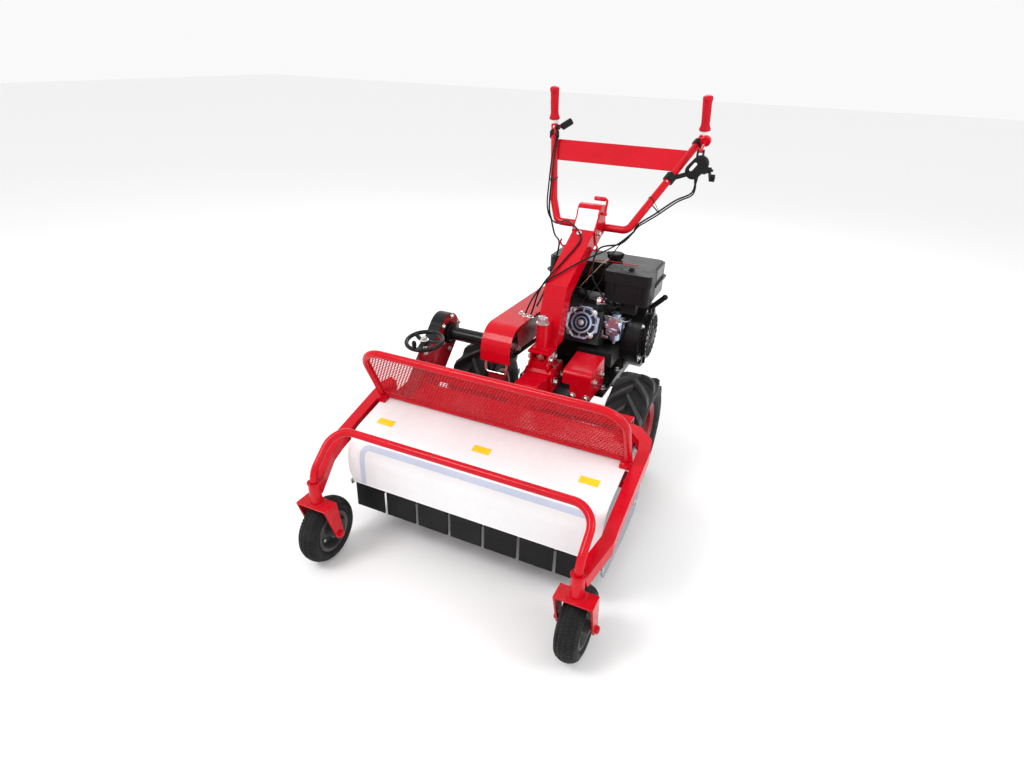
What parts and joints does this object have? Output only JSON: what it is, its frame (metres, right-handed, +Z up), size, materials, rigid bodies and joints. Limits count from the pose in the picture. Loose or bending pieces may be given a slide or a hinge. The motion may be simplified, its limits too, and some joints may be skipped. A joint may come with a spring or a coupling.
{
  "type": "walk-behind two-wheel tractor with flail mower",
  "caption": "Walk-behind two-wheel tractor with a front flail mower deck, caster wheels, side belt drive and raised handlebar.",
  "frame": {"origin": "middle of the bounding box in plan, on the ground that the wheels stand on", "axes": "+Z up; -Y is the way the machine drives, so the mower deck is at -Y and the grips at +Y; +X is to the left of someone who holds the grips"},
  "size_m": [0.888, 1.4649, 1.2273],
  "materials": {
    "deck_paint": "gloss",
    "red_paint": "gloss",
    "dark_red_paint": "satin",
    "black_paint": "satin",
    "grey_plate": "satin",
    "bright_steel": "satin",
    "cast_metal": "matt",
    "bare_casting": "satin",
    "tyre_rubber": "matt",
    "flap_rubber": "matt",
    "belt_rubber": "matt",
    "black_plastic": "satin",
    "tank_plastic": "gloss",
    "grip_rubber": "satin",
    "cable_sheath": "satin",
    "red_plastic": "gloss"
  },
  "bodies": {
    "chassis": {"deck_cover": "deck_paint", "deck_frame": "red_paint", "side_plates": "grey_plate", "front_arms": "red_paint", "bumper_bar": "red_paint", "guard_frame": "red_paint", "guard_mesh": "red_paint", "flap_rod": "bright_steel", "rotor_bearings": "bright_steel", "belt_case": "black_paint", "belt_case_plate": "dark_red_paint", "drive_belts": "belt_rubber", "drive_tube": "black_paint", "transmission": "cast_metal", "engine_bed": "black_paint", "hitch_box": "red_paint", "right_cover": "red_paint", "main_belt_cover": "red_paint", "engine_block": "cast_metal", "rocker_cover": "bare_casting", "fuel_tank": "tank_plastic", "air_cleaner": "black_plastic", "carburettor": "bare_casting", "muffler": "bright_steel", "fan_housing": "black_paint", "pivot_bolt": "bright_steel", "frame_bolts": "bright_steel", "lower_cables": "cable_sheath"},
    "flap_1": {"flap_1": "flap_rubber"},
    "flap_2": {"flap_2": "flap_rubber"},
    "flap_3": {"flap_3": "flap_rubber"},
    "flap_4": {"flap_4": "flap_rubber"},
    "flap_5": {"flap_5": "flap_rubber"},
    "flap_6": {"flap_6": "flap_rubber"},
    "flap_7": {"flap_7": "flap_rubber"},
    "rotor": {"rotor": "grey_plate"},
    "cross_shaft": {"cross_shaft": "bright_steel"},
    "crank": {"crank_pulley": "bright_steel"},
    "hand_wheel": {"hand_wheel": "black_plastic"},
    "tension_slider": {"tension_slider": "dark_red_paint"},
    "left_fork": {"left_fork": "red_paint"},
    "left_caster_wheel": {"left_caster_rim": "grey_plate", "left_caster_tyre": "tyre_rubber"},
    "right_fork": {"right_fork": "red_paint"},
    "right_caster_wheel": {"right_caster_rim": "grey_plate", "right_caster_tyre": "tyre_rubber"},
    "drive_wheels": {"wheel_axle": "bright_steel", "drive_rims": "dark_red_paint", "drive_tyres": "tyre_rubber"},
    "fuel_cap": {"fuel_cap": "black_plastic"},
    "starter_handle": {"starter_handle": "black_plastic"},
    "column": {"column": "red_paint"},
    "handlebar": {"handlebar": "red_paint", "grips": "grip_rubber", "throttle_box": "black_plastic", "upper_cables": "cable_sheath"},
    "lock_handle": {"lock_handle": "red_paint"},
    "clutch_lever": {"clutch_lever": "black_plastic"},
    "throttle_lever": {"throttle_lever": "black_plastic"},
    "stop_lever": {"stop_lever": "red_plastic"}
  },
  "joints": [
    {"name": "flap_1_swing", "type": "hinge", "parent": "chassis", "child": "flap_1", "pos_m": [0, -0.493, 0.178], "axis": [1, 0, 0], "range_deg": [-20, 25]},
    {"name": "flap_2_swing", "type": "hinge", "parent": "chassis", "child": "flap_2", "pos_m": [0, -0.493, 0.178], "axis": [1, 0, 0], "range_deg": [-60, 25]},
    {"name": "flap_3_swing", "type": "hinge", "parent": "chassis", "child": "flap_3", "pos_m": [0, -0.493, 0.178], "axis": [1, 0, 0], "range_deg": [-60, 25]},
    {"name": "flap_4_swing", "type": "hinge", "parent": "chassis", "child": "flap_4", "pos_m": [0, -0.493, 0.178], "axis": [1, 0, 0], "range_deg": [-60, 25]},
    {"name": "flap_5_swing", "type": "hinge", "parent": "chassis", "child": "flap_5", "pos_m": [0, -0.493, 0.178], "axis": [1, 0, 0], "range_deg": [-60, 25]},
    {"name": "flap_6_swing", "type": "hinge", "parent": "chassis", "child": "flap_6", "pos_m": [0, -0.493, 0.178], "axis": [1, 0, 0], "range_deg": [-60, 25]},
    {"name": "flap_7_swing", "type": "hinge", "parent": "chassis", "child": "flap_7", "pos_m": [0, -0.493, 0.178], "axis": [1, 0, 0], "range_deg": [-20, 25]},
    {"name": "rotor_spin", "type": "hinge", "parent": "chassis", "child": "rotor", "pos_m": [0, -0.327, 0.2], "axis": [1, 0, 0], "continuous": true},
    {"name": "cross_shaft_spin", "type": "hinge", "parent": "chassis", "child": "cross_shaft", "pos_m": [0, -0.022, 0.5], "axis": [1, 0, 0], "continuous": true},
    {"name": "crank_spin", "type": "hinge", "parent": "chassis", "child": "crank", "pos_m": [0, 0.388, 0.455], "axis": [1, 0, 0], "continuous": true},
    {"name": "tension_wheel_turn", "type": "hinge", "parent": "chassis", "child": "hand_wheel", "pos_m": [-0.298, -0.206, 0.486], "axis": [0, -0.1392, 0.9903], "range_deg": [-1080, 0]},
    {"name": "tension_slide", "type": "slide", "parent": "chassis", "child": "tension_slider", "axis": [0, -0.1392, 0.9903], "range_m": [0, 0.012]},
    {"name": "left_caster_swivel", "type": "hinge", "parent": "chassis", "child": "left_fork", "pos_m": [-0.385, -0.658, 0.24], "axis": [0, 0, 1], "continuous": true},
    {"name": "left_caster_roll", "type": "hinge", "parent": "left_fork", "child": "left_caster_wheel", "pos_m": [-0.385, -0.633, 0.099], "axis": [1, 0, 0], "continuous": true},
    {"name": "right_caster_swivel", "type": "hinge", "parent": "chassis", "child": "right_fork", "pos_m": [0.385, -0.658, 0.24], "axis": [0, 0, 1], "continuous": true},
    {"name": "right_caster_roll", "type": "hinge", "parent": "right_fork", "child": "right_caster_wheel", "pos_m": [0.385, -0.633, 0.099], "axis": [1, 0, 0], "continuous": true},
    {"name": "drive_wheels_roll", "type": "hinge", "parent": "chassis", "child": "drive_wheels", "pos_m": [0, 0.148, 0.198], "axis": [1, 0, 0], "continuous": true},
    {"name": "fuel_cap_turn", "type": "hinge", "parent": "chassis", "child": "fuel_cap", "pos_m": [0.092, 0.422, 0.7045], "axis": [0, 0, 1], "range_deg": [0, 90]},
    {"name": "starter_pull", "type": "slide", "parent": "chassis", "child": "starter_handle", "axis": [0.6724, -0.1372, 0.7273], "range_m": [0, 0.3], "stiffness_N_per_m": 10, "springref_m": -0.05},
    {"name": "column_swivel", "type": "hinge", "parent": "chassis", "child": "column", "pos_m": [0, 0, 0.55], "axis": [0, 0, 1], "range_deg": [-15, 15], "deforming": ["lower_cables"]},
    {"name": "handlebar_tilt", "type": "hinge", "parent": "column", "child": "handlebar", "pos_m": [0, 0.409, 0.807], "axis": [1, 0, 0], "range_deg": [-10, 25]},
    {"name": "height_lock_turn", "type": "hinge", "parent": "column", "child": "lock_handle", "pos_m": [0, 0.381, 0.858], "axis": [1, 0, 0], "range_deg": [-50, 0]},
    {"name": "clutch_squeeze", "type": "hinge", "parent": "handlebar", "child": "clutch_lever", "pos_m": [-0.246, 0.664, 1.088], "axis": [1, 0, 0], "range_deg": [-18, 0], "stiffness_Nm_per_rad": 2, "springref_deg": 11.46},
    {"name": "throttle_turn", "type": "hinge", "parent": "handlebar", "child": "throttle_lever", "pos_m": [0.34, 0.6, 0.998], "axis": [1, 0, 0], "range_deg": [-40, 30]},
    {"name": "stop_turn", "type": "hinge", "parent": "handlebar", "child": "stop_lever", "pos_m": [0.298, 0.6, 1.058], "axis": [1, 0, 0], "range_deg": [-15, 15]}
  ],
  "couplings": [
    {"joint": "cross_shaft_spin", "follows": "rotor_spin", "ratio": 1},
    {"joint": "crank_spin", "follows": "rotor_spin", "ratio": 1.35},
    {"joint": "tension_slide", "follows": "tension_wheel_turn", "m_per_rad": -0.00063662}
  ]
}
